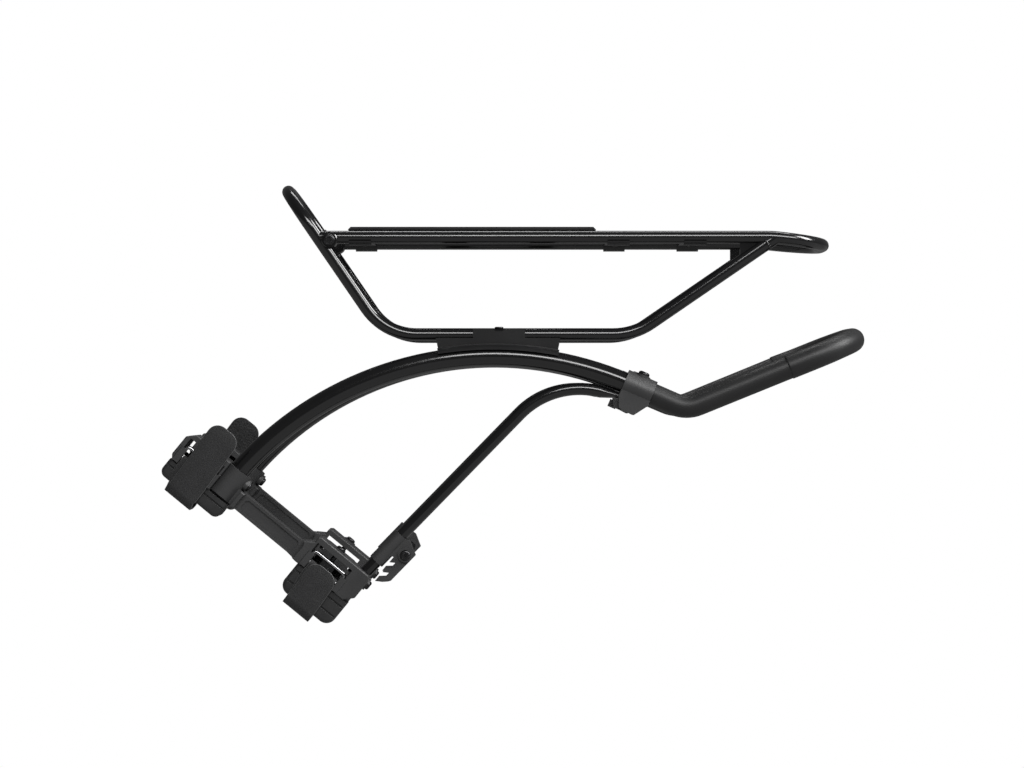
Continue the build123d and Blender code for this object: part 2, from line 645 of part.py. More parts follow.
# --- mount arms -----------------------------------------------------------------------------------
def arm_outline():
    """Side view of the arm, (u, v)."""
    h = ARM_HALF_H
    return [
        (ARM_FRONT_U + 6, ARM_TOP_V),
        (FRAME_REAR_U, ARM_TOP_V),
        (FRAME_REAR_U, -h),
        (LOWER_BODY_U - 9, -h),
        (LOWER_BODY_U, -h - 6),
        (LOWER_BODY_U, ARM_TOP_V + 1.5),
        (LOWER_BODY_U + 2, ARM_TOP_V),
        (ARM_REAR_U - 2.5, ARM_TOP_V),
        (ARM_REAR_U, ARM_TOP_V + 2.5),
        (ARM_REAR_U, 1.0),
        (ARM_REAR_U - 6.5, ARM_BOTTOM_V),
        (LOWER_BODY_U - 3, ARM_BOTTOM_V),
        (LOWER_BODY_U - 12, h),
        (SOCKET_R + 3, h),
        (SOCKET_R, ARM_BOTTOM_V),
        (ARM_FRONT_U + 3, ARM_BOTTOM_V),
        (ARM_FRONT_U, ARM_BOTTOM_V - 4),
        (ARM_FRONT_U, ARM_TOP_V + 6),
    ]


def web_pockets():
    """Long shallow pockets that thin the arm's web on both faces."""
    length = WEB_POCKET[1] - WEB_POCKET[0]
    outline = Plane.XZ * RectangleRounded(length, 3 * ARM_HALF_H, 7)
    pocket = Pos(sum(WEB_POCKET) / 2, 0, 0) * extrude(outline, CUT / 2)
    outer = Pos(0, -ARM_WEB_HALF_T, 0) * pocket
    rib = RectangleRounded(length - 8, 2 * ARM_HALF_H - 4.4, 3)
    groove = Pos(sum(WEB_POCKET) / 2, -ARM_WEB_HALF_T + 1.2, 0) * extrude(Plane.XZ * rib, CUT / 2)
    cut = outer + groove
    return cut + mirrored(cut)


def station_cuts(u):
    """What a strap station takes out of the arm: ring pocket, window, strap groove, bolt hole."""
    bottom = ARM_BOTTOM_V + 1
    recess = block((u - RECESS_HALF, u + RECESS_HALF), (RECESS_FLOOR, CUT), (WINDOW_TOP_V, bottom))
    window = block((u - WINDOW_HALF, u + WINDOW_HALF), (-CUT, CUT), (WINDOW_TOP_V, WINDOW_BOTTOM_V))
    groove = block((u - WINDOW_HALF, u + WINDOW_HALF), (-CUT, INNER_FLOOR), (WINDOW_TOP_V, bottom))
    hole = rod((u, BOLT_O, ARM_TOP_V - CUT / 4), (u, BOLT_O, WINDOW_TOP_V + 1), BOLT_HOLE_R)
    return recess + window + groove, hole


def keeper(u):
    """Bar on the arm's inner face that the strap folds over, on two lugs."""
    height = (-KEEPER_HALF_H, KEEPER_HALF_H)
    bar = block((u - KEEPER_HALF_L, u + KEEPER_HALF_L), (KEEPER_IN, KEEPER_OUT), height)
    for side in (-1, 1):
        edge = sorted((u + side * (WINDOW_HALF - 0.2), u + side * KEEPER_HALF_L))
        bar += block(edge, (KEEPER_IN, -ARM_HALF_T + 0.5), height)
    return bar


def cheeks(u):
    """Two thin plates on the arm's outer face that cover the ring's legs."""
    front = block((u - CHEEK_U[1], u - CHEEK_U[0]), CHEEK_O, CHEEK_V)
    rear = block((u + CHEEK_U[0], u + CHEEK_U[1]), CHEEK_O, CHEEK_V)
    return [fillet(plate.edges().filter_by(Axis.Z).group_by(Axis.Y)[-1], CHEEK_ROUND) for plate in (front, rear)]


def mount_arm():
    body = slab(arm_outline(), (-ARM_HALF_T, ARM_HALF_T))
    body = fillet(body.edges().filter_by(Axis.Y).filter_by(is_soft_corner), 2.0)
    body = fillet(body.faces().filter_by(Axis.Y).edges(), 1.0)
    body -= block((FRAME_REAR_U, SOCKET_R + 1), (-CUT, CUT), (-CUT, CUT))
    body += rod((0, 0, SOCKET_TOP_V), (0, 0, SOCKET_BOTTOM_V), SOCKET_R)
    link = block((FRAME_REAR_U - 1, SOCKET_R + 4), (-ARM_WEB_HALF_T, ARM_WEB_HALF_T), (-ARM_HALF_H, 6))
    body += link
    body -= web_pockets()
    body += rod((0, 0, CLAMP_BOLT_V), (ARC_BOSS_U, 0, CLAMP_BOLT_V), CLAMP_BOSS_R)
    body += rod((ARM_REAR_U - 3, 0, CLAMP_BOLT_V), (STRUT_BOSS_U, 0, CLAMP_BOLT_V), CLAMP_BOSS_R)
    for u in STATIONS.values():
        cuts, hole = station_cuts(u)
        pad = block((u - HEAD_PAD_HALF, u + HEAD_PAD_HALF), (BOLT_O - HEAD_PAD_HALF, BOLT_O + HEAD_PAD_HALF),
                    (ARM_TOP_V - HEAD_PAD_H, ARM_TOP_V + 1))
        body = body - cuts + pad + keeper(u) + cheeks(u) - hole
    body = ARM * body
    body -= tube(arc_path(), ARC_TUBE_R)
    strut = rod(STRUT_POINT + STRUT_DIR * STRUT_LOWER_END, STRUT_POINT, STRUT_R)
    body -= strut
    for bolt in clamp_bolt_cutters():
        body -= bolt
    return largest(body)


def is_soft_corner(edge):
    """Corners of the arm's outline that get a larger round."""
    centre = edge.center()
    return centre.X < ARM_FRONT_U + 1 or centre.X > ARM_REAR_U - 1


def strut_u(v):
    """Where the strut's centreline crosses a height v in the arm's frame."""
    start = ARM.to_local_coords(STRUT_POINT)
    end = ARM.to_local_coords(STRUT_POINT + STRUT_DIR)
    slope = (end.X - start.X) / (end.Z - start.Z)
    return start.X + slope * (v - start.Z)


def clamp_places():
    """Plane of each clamp bolt's head seat and the bolt's length down to its tube."""
    arc_tip = ARC_TUBE_R + CLAMP_TIP_GAP
    strut_tip = strut_u(CLAMP_BOLT_V) + STRUT_R + CLAMP_TIP_GAP
    places = []
    for seat, tip in ((ARC_BOSS_U, arc_tip), (STRUT_BOSS_U, strut_tip)):
        plane = ARM * facing((seat, 0, CLAMP_BOLT_V), (1, 0, 0))
        places.append((plane, seat - tip))
    return places


def clamp_bolt(index):
    plane, length = clamp_places()[index]
    return plane * button_bolt(CLAMP_BOLT_R, length, CLAMP_HEAD_R, CLAMP_HEAD_H)


def clamp_insert(index):
    plane, length = clamp_places()[index]
    ring = Circle(INSERT_R) - Circle(CLAMP_BOLT_R)
    depth = min(INSERT_L, length - 0.3)
    return plane * extrude(ring, -depth)


def clamp_bolt_cutters():
    cutters = []
    for index in range(2):
        plane, length = clamp_places()[index]
        depth = min(INSERT_L, length - 0.3)
        cutters.append(plane * extrude(Circle(CLAMP_BOLT_R), -length))
        cutters.append(plane * extrude(Circle(INSERT_R), -depth))
    return cutters


# --- pads -----------------------------------------------------------------------------------------
def pad(level):
    """Rubber channel that cradles the seat stay, with grooves along its sides."""
    u = PAD_U[level]
    bottom = PAD_BOTTOM_V[level]
    body = block(u, (-PAD_HALF_T, PAD_HALF_T), (ARM_BOTTOM_V, bottom))
    lower_corners = body.edges().filter_by(Axis.Y).sort_by(Axis.Z)[-2:]
    body = fillet(lower_corners, PAD_CORNER_R[level])
    body = fillet(body.edges().filter_by(Axis.X).group_by(Axis.Z)[-1], PAD_EDGE_R)
    stay = (u[0] - 1, u[1] + 1)
    body -= rod((stay[0], 0, STAY_V), (stay[1], 0, STAY_V), STAY_R)
    body -= block(stay, (-STAY_R, STAY_R), (STAY_V, CUT))
    for v in PAD_GROOVES[level]:
        for side in (-1, 1):
            edge = sorted((side * (PAD_HALF_T - GROOVE_DEPTH), side * CUT))
            body -= block(stay, edge, (v - GROOVE_W / 2, v + GROOVE_W / 2))
    return ARM * body


# --- tension ring, nut and bolt -------------------------------------------------------------------
def tension_ring(level):
    """Closed rectangle of round wire in a plane beside the arm."""
    centre = (STATIONS[level], RING_O, (RING_TOP_V + RING_LOW_V) / 2)
    outline = RectangleRounded(2 * RING_HALF_L, RING_LOW_V - RING_TOP_V, RING_CORNER_R)
    path = (Plane(origin=centre, x_dir=(1, 0, 0), z_dir=(0, -1, 0)) * outline).face().outer_wire()
    section = Plane(origin=path @ 0, z_dir=path % 0) * Circle(RING_WIRE_R)
    return ARM * sweep(section, path=path)


def tension_nut(level):
    """Block that the bolt pulls up against the ring's top bar."""
    u = STATIONS[level]
    body = block((u - NUT_HALF_L, u + NUT_HALF_L), (NUT_IN, NUT_OUT), (NUT_TOP_V, NUT_LOW_V))
    body = chamfer(body.edges().filter_by(Axis.Y), 0.6)
    return ARM * (body - rod((u, BOLT_O, -CUT), (u, BOLT_O, CUT), BOLT_HOLE_R))


def tension_bolt(level):
    seat = ARM_TOP_V - HEAD_PAD_H - BOLT_HEAD_GAP
    place = facing((STATIONS[level], BOLT_O, seat), (0, 0, -1))
    return ARM * place * button_bolt(BOLT_R, BOLT_TIP_V - seat, BOLT_HEAD_R, BOLT_HEAD_H)


# --- straps ---------------------------------------------------------------------------------------
def strap_path(level):
    """Centreline of the webbing in the (o, v) plane, from the ring round the stay to the flap."""
    u = STATIONS[level]
    first = STRAP_BOTTOM_V[level]
    back = first + LAYER_STEP
    points = [(STRAP_OUTER_O, RING_LOW_V), (STRAP_OUTER_O, first), (STRAP_INNER_O, first), (STRAP_INNER_O, FOLD_V)]
    layer = FilletPolyline(*[(u, o, v) for o, v in points], radius=BEND_FIRST_R)
    half = (STRAP_INNER_O - STRAP_BACK_O) / 2
    fold_top = (u, STRAP_INNER_O - half, FOLD_V - half)
    fold = ThreePointArc((u, STRAP_INNER_O, FOLD_V), fold_top, (u, STRAP_BACK_O, FOLD_V))
    points = [(STRAP_BACK_O, FOLD_V), (STRAP_BACK_O, back), (FLAP_O, back), (FLAP_O, back - BEND_FLAP_R - 0.2)]
    outer = FilletPolyline(*[(u, o, v) for o, v in points], radius=[BEND_BACK_R, BEND_FLAP_R])
    return Wire(layer.edges() + fold.edges() + outer.edges())


def hinge_v(level):
    """Height at which the free flap starts."""
    return STRAP_BOTTOM_V[level] + LAYER_STEP - BEND_FLAP_R - 0.2


def strap(level):
    path = strap_path(level)
    section = Plane(origin=path @ 0, x_dir=(1, 0, 0), z_dir=path % 0) * Rectangle(STRAP_W, STRAP_T)
    webbing = sweep(section, path=path)
    u = STATIONS[level]
    half = STRAP_W / 2
    eye = rod((u - half, RING_O, RING_LOW_V), (u + half, RING_O, RING_LOW_V), STRAP_EYE_R + STRAP_T)
    eye -= rod((u - CUT, RING_O, RING_LOW_V), (u + CUT, RING_O, RING_LOW_V), STRAP_EYE_R)
    return ARM * (webbing + eye)


def strap_flap(level, end_v):
    """Free end of the webbing, lying on the outer leg, with a round end."""
    start = hinge_v(level) - FLAP_GAP
    u = STATIONS[level]
    edge = (FLAP_O - STRAP_T / 2, FLAP_O + STRAP_T / 2)
    body = block((u - STRAP_W / 2, u + STRAP_W / 2), edge, (end_v, start))
    corners = body.edges().filter_by(Axis.Y).sort_by(Axis.Z)[:2]
    return ARM * fillet(corners, FLAP_CORNER_R)


# --- pannier hook clips ---------------------------------------------------------------------------
def clip_outline():
    """Side view of the clip's plate with its two prongs, (s, n)."""
    inner, outer = CLIP_STEM_N
    return [
        (CLIP_TOP_S, 2.0),
        (CLIP_TOP_S + 1.1, 8.6),
        (CLIP_TOP_S - 3.4, outer),
        (-50.6, outer),
        (-52.6, 17.2),
        (-55.7, 14.4),
        (-59.2, 9.8),
        (-54.9, 9.4),
        (-51.0, inner),
        (-47.2, inner),
        (-50.3, 9.2),
        (-45.6, 8.9),
        (-42.0, inner),
        (-38.5, inner),
        (-35.5, 9.6),
        (-36.8, 5.0),
        (CLIP_LOW_S + 2, 4.6),
        (CLIP_LOW_S + 2, 2.0),
    ]


def hook_clip():
    """Moulded clip: sleeve round the strut, two ears for the bolt, and a double-pronged hook."""
    plate = slab(clip_outline(), (-CLIP_PLATE_HALF, CLIP_PLATE_HALF))
    ears = rod((CLIP_BOLT_S, -CLIP_EAR_HALF, CLIP_BOLT_N), (CLIP_BOLT_S, CLIP_EAR_HALF, CLIP_BOLT_N), CLIP_EAR_R)
    sleeve = rod((CLIP_LOW_S, 0, 0), (CLIP_TOP_S, 0, 0), CLIP_R)
    body = plate + ears + sleeve
    body -= rod((-CUT * 2, 0, 0), (CUT, 0, 0), CLIP_BORE_R)
    body -= block((CLIP_SLIT_S, CUT), (-CLIP_SLIT / 2, CLIP_SLIT / 2), (0, CUT))
    body -= block((-CUT * 2, CUT), (-CLIP_SLIT / 2, CLIP_SLIT / 2), (0, CLIP_BORE_R + 1.0))
    body -= rod((CLIP_BOLT_S, -CUT, CLIP_BOLT_N), (CLIP_BOLT_S, CUT, CLIP_BOLT_N), CLIP_BOLT_R)
    nut = facing((CLIP_BOLT_S, -CLIP_EAR_HALF, CLIP_BOLT_N), (0, 1, 0)) * hex_nut(CLIP_NUT_FLAT, CLIP_NUT_H, 0.1)
    return STRUT * largest(body - nut)


def hook_bolt():
    place = facing((CLIP_BOLT_S, CLIP_EAR_HALF, CLIP_BOLT_N), (0, 1, 0))
    return STRUT * place * button_bolt(CLIP_BOLT_R, 2 * CLIP_EAR_HALF, CLIP_HEAD_R, CLIP_HEAD_H)


def hook_nut():
    place = facing((CLIP_BOLT_S, -CLIP_EAR_HALF, CLIP_BOLT_N), (0, 1, 0))
    return STRUT * place * hex_nut(CLIP_NUT_FLAT, CLIP_NUT_H, CLIP_BOLT_R)


# --- the nodes ------------------------------------------------------------------------------------
def carrier():
    lug = front_lug()
    bolt = front_lug_bolt()
    lug_space = rod((LUG_X, -LUG_INNER_Y, LUG_Z), (LUG_X, -LUG_OUTER_Y, LUG_Z), LUG_R)
    deck_solid = tube(deck_path(), RAIL_R)
    side_solid = tube(side_path(), RAIL_R)
    deck = tube(deck_path(), RAIL_R, RAIL_R - RAIL_WALL) - side_solid.intersect(front_zone())
    deck = largest(deck - lug_space - mirrored(lug_space))
    side = tube(side_path(), RAIL_R, RAIL_R - RAIL_WALL) - deck_solid.intersect(rear_zone())
    side = side - lug_space - mirrored(lug_space)
    for y in (-RAIL_Y, RAIL_Y):
        low = (SADDLE_SCREW_X, y, LOWER_Z - CUT / 2)
        high = (SADDLE_SCREW_X, y, LOWER_Z + CUT / 2)
        side -= rod(low, high, SADDLE_SCREW_R)
    save("deck_tube", deck)
    save("side_frame_tube", largest(side))
    save_pair("front_lug", lug)
    save("front_lug_bolts", both(bolt))
    save_pair("rear_gusset", rear_gusset(deck_solid, side_solid))


def front_zone():
    """Space that holds the front junction of the tubes."""
    return block((-200, -60), (-CUT, CUT), (-60, CUT))


def rear_zone():
    """Space that holds the rear junction of the tubes."""
    return block((180, 300), (-CUT, CUT), (-60, CUT))


def deck_fittings():
    save("track_plate", track_plate())
    for name, x in BRACKET_CENTRES.items():
        save("cross_bracket_" + name, cross_bracket(x))
    save("plate_screws", plate_screws())
    save("saddle_bridge", saddle_bridge())
    save("saddle_screws", both(saddle_screw()))


def lower_frame():
    save_pair("arc_tube", arc_tube())
    save_pair("strut_tube", strut_tube())
    collar = rear_collar() - strut_tongue()
    save_pair("rear_collar", largest(collar))
    save("collar_bolts", both(collar_bolt()))
    save("collar_nuts", both(collar_nut()))
    save("loop_tube", loop_tube())
    save("loop_grip", loop_grip())


def strut_tongue():
    """Space that the strut's flat end takes inside the collar."""
    start = ARC_REAR + COLLAR_DIR * (COLLAR_FRONT - 2) + COLLAR_UP * STRUT_END_DROP
    oval = Ellipse(STRUT_FLAT_HALF_W + 0.1, STRUT_FLAT_HALF_T + 0.1)
    return extrude(Plane(origin=start, x_dir=(0, 1, 0), z_dir=COLLAR_DIR) * oval, STRUT_FLAT_LENGTH + 2.5)


def mounts():
    save_pair("mount_arm", mount_arm())
    save("arc_clamp_bolts", both(clamp_bolt(0)))
    save("strut_clamp_bolts", both(clamp_bolt(1)))
    save("clamp_inserts", both(clamp_insert(0)) + both(clamp_insert(1)))
    for level in STATIONS:
        save_pair("pad_" + level, pad(level))
        save_pair("strap_" + level, strap(level))
        save("strap_flap_" + level + "_left", strap_flap(level, FLAP_END_V[level + "_left"]))
        save("strap_flap_" + level + "_right", mirrored(strap_flap(level, FLAP_END_V[level + "_right"])))
        save_pair("tension_ring_" + level, tension_ring(level))
        save_pair("tension_nut_" + level, tension_nut(level))
        save_pair("tension_bolt_" + level, tension_bolt(level))


def hook_clips():
    save_pair("hook_clip", hook_clip())
    save_pair("hook_bolt", hook_bolt())
    save_pair("hook_nut", hook_nut())


carrier()
deck_fittings()
lower_frame()
mounts()
hook_clips()
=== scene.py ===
# %% [markdown]
# # A bicycle's rear rack that straps to the seat stays
# The rack is a tubular carrier on two long arcs. Two moulded arms hold it to the frame with
# hook-and-loop straps. Its rigid parts were designed and packed before this lesson begins, so they are
# loaded as a fixed frame. The lesson gives them finishes, and models what is soft or welded:
# webbing, rubber pads, foam sleeves and weld beads.

# %% Load the frame
import json
from math import cos, pi, radians, sin

import bmesh
import bpy
from mathutils import Matrix, Vector, noise


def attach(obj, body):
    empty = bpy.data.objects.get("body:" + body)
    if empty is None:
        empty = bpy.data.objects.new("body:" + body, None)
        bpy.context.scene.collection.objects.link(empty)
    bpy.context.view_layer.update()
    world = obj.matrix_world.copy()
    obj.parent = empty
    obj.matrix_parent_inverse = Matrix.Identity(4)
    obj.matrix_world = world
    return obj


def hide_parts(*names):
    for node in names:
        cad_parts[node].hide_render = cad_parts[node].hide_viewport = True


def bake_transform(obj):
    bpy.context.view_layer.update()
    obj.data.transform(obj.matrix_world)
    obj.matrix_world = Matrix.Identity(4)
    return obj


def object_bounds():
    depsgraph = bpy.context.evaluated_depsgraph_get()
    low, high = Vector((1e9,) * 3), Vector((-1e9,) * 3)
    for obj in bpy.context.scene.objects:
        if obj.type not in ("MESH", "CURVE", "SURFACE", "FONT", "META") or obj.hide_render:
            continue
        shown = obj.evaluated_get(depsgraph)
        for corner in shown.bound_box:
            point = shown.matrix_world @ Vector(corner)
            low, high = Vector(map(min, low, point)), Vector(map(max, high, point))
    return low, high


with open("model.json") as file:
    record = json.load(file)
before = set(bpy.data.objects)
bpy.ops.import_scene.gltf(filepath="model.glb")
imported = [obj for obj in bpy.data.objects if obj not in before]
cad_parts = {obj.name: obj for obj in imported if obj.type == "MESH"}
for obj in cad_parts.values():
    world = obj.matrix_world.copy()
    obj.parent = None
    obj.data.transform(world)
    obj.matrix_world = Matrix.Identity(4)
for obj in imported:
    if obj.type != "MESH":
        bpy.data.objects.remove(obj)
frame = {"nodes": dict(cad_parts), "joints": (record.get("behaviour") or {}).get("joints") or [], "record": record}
cad_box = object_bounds()
nodes = frame["nodes"]
joints = {joint["name"]: joint for joint in frame["joints"]}
MM = 0.001
print("frame:", len(nodes), "nodes,", len(joints), "joints, box", cad_box)

# %% [markdown]
# ## Camera
# A small object looks natural through a long lens from a few metres away. The camera stands level with
# the middle of the rack, and looks straight across the bicycle.

# %% Place the camera
CAMERA_PLACE = (0.031, -2.048, -0.1216)
CAMERA_LENS = 91.44

camera_data = bpy.data.cameras.new("camera")
camera_data.lens = CAMERA_LENS
camera_data.sensor_width = 36.0
camera = bpy.data.objects.new("camera", camera_data)
camera.location = CAMERA_PLACE
camera.rotation_euler = (radians(90), 0, 0)
bpy.context.scene.collection.objects.link(camera)
bpy.context.scene.camera = camera
print("camera looks along +Y from", CAMERA_PLACE)

# %% [markdown]
# ## Studio
# Black gloss shows its shape only through what it reflects. So the room is a bright white behind the
# object, but nearly dark in reflections, and one long soft box in front, high to the right, draws a thin
# bright line on each tube, and one far to the right lights the edges that face it. The Light Path node tells a ray from the camera from a reflected one. The
# pale floor glows near the object, as a lit paper sweep does, and is darker far behind it.

# %% Light the studio
ROOM_REFLECTED = 0.10
FLOOR_Z = -0.62
FLOOR_SIZE = 9.0
FLOOR_GLOW = 0.38


def split_by_ray(tree, for_camera, for_others):
    """Shader that camera rays see one way and all other rays another way."""
    mix = tree.nodes.new("ShaderNodeMixShader")
    path = tree.nodes.new("ShaderNodeLightPath")
    tree.links.new(path.outputs["Is Camera Ray"], mix.inputs["Fac"])
    tree.links.new(for_others.outputs[0], mix.inputs[1])
    tree.links.new(for_camera.outputs[0], mix.inputs[2])
    return mix


def light_room():
    """White to the camera, nearly dark to reflections."""
    world = bpy.data.worlds.new("studio")
    bpy.context.scene.world = world
    world.use_nodes = True
    tree = world.node_tree
    tree.nodes.clear()
    output = tree.nodes.new("ShaderNodeOutputWorld")
    dim = tree.nodes.new("ShaderNodeBackground")
    bright = tree.nodes.new("ShaderNodeBackground")
    dim.inputs["Color"].default_value = (ROOM_REFLECTED, ROOM_REFLECTED, ROOM_REFLECTED, 1)
    bright.inputs["Color"].default_value = (1, 1, 1, 1)
    tree.links.new(split_by_ray(tree, bright, dim).outputs[0], output.inputs["Surface"])


def soft_box(name, place, target, size, watts):
    """Rectangular lamp at a place, turned to a target."""
    data = bpy.data.lights.new(name, "AREA")
    data.shape = "RECTANGLE"
    data.size, data.size_y = size
    data.energy = watts
    lamp = bpy.data.objects.new(name, data)
    lamp.location = place
    lamp.rotation_euler = (Vector(target) - Vector(place)).to_track_quat("-Z", "Y").to_euler()
    bpy.context.scene.collection.objects.link(lamp)
    return lamp


def paper_floor():
    """White to the camera; to other rays, a glow that fades behind the object."""
    bpy.ops.mesh.primitive_plane_add(size=FLOOR_SIZE, location=(0, 0, FLOOR_Z))
    floor = bpy.context.object
    floor.name = "floor"
    paper = bpy.data.materials.new("floor_white")
    paper.use_nodes = True
    tree = paper.node_tree
    tree.nodes.clear()
    output = tree.nodes.new("ShaderNodeOutputMaterial")
    white = tree.nodes.new("ShaderNodeEmission")
    glow = tree.nodes.new("ShaderNodeEmission")
    place = tree.nodes.new("ShaderNodeTexCoord")
    parts = tree.nodes.new("ShaderNodeSeparateXYZ")
    fade = tree.nodes.new("ShaderNodeMapRange")
    for key, value in {"From Min": 0.2, "From Max": 0.9, "To Min": FLOOR_GLOW, "To Max": 0.2}.items():
        fade.inputs[key].default_value = value
    tree.links.new(place.outputs["Object"], parts.inputs[0])
    tree.links.new(parts.outputs["Y"], fade.inputs["Value"])
    tree.links.new(fade.outputs["Result"], glow.inputs["Strength"])
    tree.links.new(split_by_ray(tree, white, glow).outputs[0], output.inputs["Surface"])
    floor.data.materials.append(paper)


light_room()
paper_floor()
middle = (cad_box[0] + cad_box[1]) / 2
soft_box("strip_box", (0.85, -2.1, 1.32), middle, (2.5, 0.6), 56)
soft_box("right_box", (2.2, -0.45, 1.45), middle, (0.8, 1.4), 70)
soft_box("top_box", (0.3, 0.9, 2.2), middle, (1.6, 0.5), 16)
bpy.context.scene.view_settings.view_transform = "Standard"
bpy.context.scene.view_settings.look = "None"
print("studio: 3 soft boxes, floor at", FLOOR_Z)

# %% [markdown]
# ## A small language for finishes
# A finish is a net of shader nodes. Written out by hand it is long, so one class wraps a node's output
# and lets plain sums and products add the Math nodes. Every other node comes from one method that
# takes a node's type, its settings and its inputs.

# %% Helpers for shader nodes
class Wire:
    """Output of a shader node, which sums and products can use."""

    def __init__(self, finish, socket):
        self.finish = finish
        self.socket = socket

    def math(self, operation, first, second):
        return self.finish.node("ShaderNodeMath", {"operation": operation}, {0: first, 1: second})

    def __add__(self, other):
        return self.math("ADD", self, other)

    def __sub__(self, other):
        return self.math("SUBTRACT", self, other)

    def __rsub__(self, other):
        return self.math("SUBTRACT", other, self)

    def __mul__(self, other):
        return self.math("MULTIPLY", self, other)

    def sine(self):
        return self.finish.node("ShaderNodeMath", {"operation": "SINE"}, {0: self})

    __radd__ = __add__
    __rmul__ = __mul__


class Finish:
    """One material, built node by node round its main shader."""

    def __init__(self, name, slot, **sockets):
        self.material = bpy.data.materials.new(name)
        self.material.use_nodes = True
        self.slot = slot
        self.tree = self.material.node_tree
        self.shader = self.tree.nodes["Principled BSDF"]
        self.feed(self.shader, sockets)
        self.place = self.node("ShaderNodeTexCoord", output="Object")

    def feed(self, node, inputs):
        """Set a node's sockets: a Wire is linked, anything else is a fixed value."""
        for key, value in inputs.items():
            socket = node.inputs[key.replace("_", " ") if isinstance(key, str) else key]
            if isinstance(value, Wire):
                self.tree.links.new(value.socket, socket)
            else:
                socket.default_value = value

    def node(self, kind, settings=None, inputs=None, output=0):
        """Add a node: its settings first, then its sockets by name or number."""
        made = self.tree.nodes.new(kind)
        for name, value in (settings or {}).items():
            if name == "stops":
                self.set_stops(made.color_ramp, value)
            else:
                setattr(made, name, value)
        self.feed(made, inputs or {})
        return Wire(self, made.outputs[output])

    def set_stops(self, ramp, stops):
        """Give a colour ramp its (position, grey) stops."""
        while len(ramp.elements) < len(stops):
            ramp.elements.new(1.0)
        for element, (position, grey) in zip(ramp.elements, stops):
            element.position = position
            element.color = (grey, grey, grey, 1)

    def noise(self, size, detail=2.0, place=None):
        """Cloudy pattern whose blotches are about size metres wide."""
        inputs = {"Vector": place or self.place, "Scale": 1 / size, "Detail": detail}
        return self.node("ShaderNodeTexNoise", None, inputs, "Fac")

    def cells(self, size, place=None, feature="F1"):
        """Distance to the nearest of many scattered points, about size metres apart."""
        inputs = {"Vector": place or self.place, "Scale": 1 / size}
        return self.node("ShaderNodeTexVoronoi", {"feature": feature}, inputs, "Distance")

    def ramp(self, value, *stops):
        return self.node("ShaderNodeValToRGB", {"stops": stops}, {"Fac": value})

    def between(self, mask, dark, light):
        """Colour that runs from dark to light with a mask."""
        settings = {"data_type": "RGBA"}
        inputs = {0: mask, 6: (*dark, 1), 7: (*light, 1)}
        return self.node("ShaderNodeMix", settings, inputs, 2)

    def bump(self, height, depth, strength=1.0, under=None):
        """Relief of a depth in metres, on top of another relief."""
        inputs = {"Height": height, "Distance": depth, "Strength": strength}
        if under:
            inputs["Normal"] = under
        return self.node("ShaderNodeBump", None, inputs)

    def set(self, **sockets):
        self.feed(self.shader, sockets)
        return self


print("shader helpers ready")

# %% [markdown]
# ## Painted tube and plate
# The tubes are aluminium under a black gloss coat. Sprayed paint is never flat: it has a faint orange
# peel a millimetre or two wide, and handling leaves cloudy patches that are a little duller. The plates
# are anodised, which is a satin finish with a fine directional grain.

# %% Make the hard finishes
def gloss_paint():
    finish = Finish("gloss_black_paint", "frame_paint", Coat_Weight=0.25, Coat_Roughness=0.05)
    peel = finish.noise(0.003)
    cloud = finish.noise(0.045, 4)
    dust = finish.ramp(finish.noise(0.006, 4), (0.5, 0.0), (0.8, 1.0))
    finish.set(Base_Color=finish.between(cloud, (0.004, 0.004, 0.0043), (0.008, 0.008, 0.0085)))
    finish.set(Roughness=cloud * 0.08 + dust * 0.06 + 0.12)
    finish.set(Normal=finish.bump(peel, 0.000006, 0.2))
    return finish


def satin_plate():
    finish = Finish("satin_black_anodise", "plate_black", Specular_IOR_Level=0.5)
    grain = finish.noise(0.0003, 3)
    cloud = finish.noise(0.03, 3)
    finish.set(Base_Color=finish.between(cloud, (0.006, 0.006, 0.0063), (0.014, 0.014, 0.0145)))
    finish.set(Roughness=cloud * 0.1 + grain * 0.1 + 0.24)
    finish.set(Normal=finish.bump(grain, 0.00001, 0.4))
    return finish


def moulded_nylon():
    finish = Finish("moulded_black_nylon", "moulded_nylon")
    grain = finish.cells(0.00045)
    cloud = finish.noise(0.02, 4)
    finish.set(Base_Color=finish.between(cloud, (0.026, 0.026, 0.0265), (0.045, 0.045, 0.046)))
    finish.set(Roughness=cloud * 0.12 + grain * 0.1 + 0.34)
    finish.set(Normal=finish.bump(grain, 0.00006, 0.6))
    return finish


def black_fastener():
    finish = Finish("black_oxide_steel", "black_steel", Metallic=0.85)
    scuff = finish.ramp(finish.noise(0.0012, 5), (0.55, 0.0), (0.75, 1.0))
    finish.set(Base_Color=finish.between(scuff, (0.035, 0.035, 0.036), (0.12, 0.12, 0.125)))
    finish.set(Roughness=scuff * 0.2 + 0.3)
    return finish


def polished_steel():
    finish = Finish("polished_steel_wire", "bright_steel", Metallic=1.0)
    haze = finish.noise(0.004, 4)
    finish.set(Base_Color=finish.between(haze, (0.26, 0.26, 0.265), (0.38, 0.38, 0.385)))
    finish.set(Roughness=haze * 0.12 + 0.08)
    finish.set(Normal=finish.bump(finish.noise(0.002, 2), 0.000004, 0.3))
    return finish


hard_finishes = {finish.slot: finish for finish in
                 (gloss_paint(), satin_plate(), moulded_nylon(), black_fastener(), polished_steel())}
print("hard finishes:", ", ".join(hard_finishes))

# %% [markdown]
# ## Dress the rigid parts
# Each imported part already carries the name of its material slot. So the finish is chosen by that name,
# and a part's own mesh is left as it is.

# %% Give each node its finish
def dress(node_name, finish):
    """Put a finish in every material slot of a CAD node."""
    slots = nodes[node_name].material_slots
    for place in slots:
        place.material = finish.material
    if not slots:
        nodes[node_name].data.materials.append(finish.material)


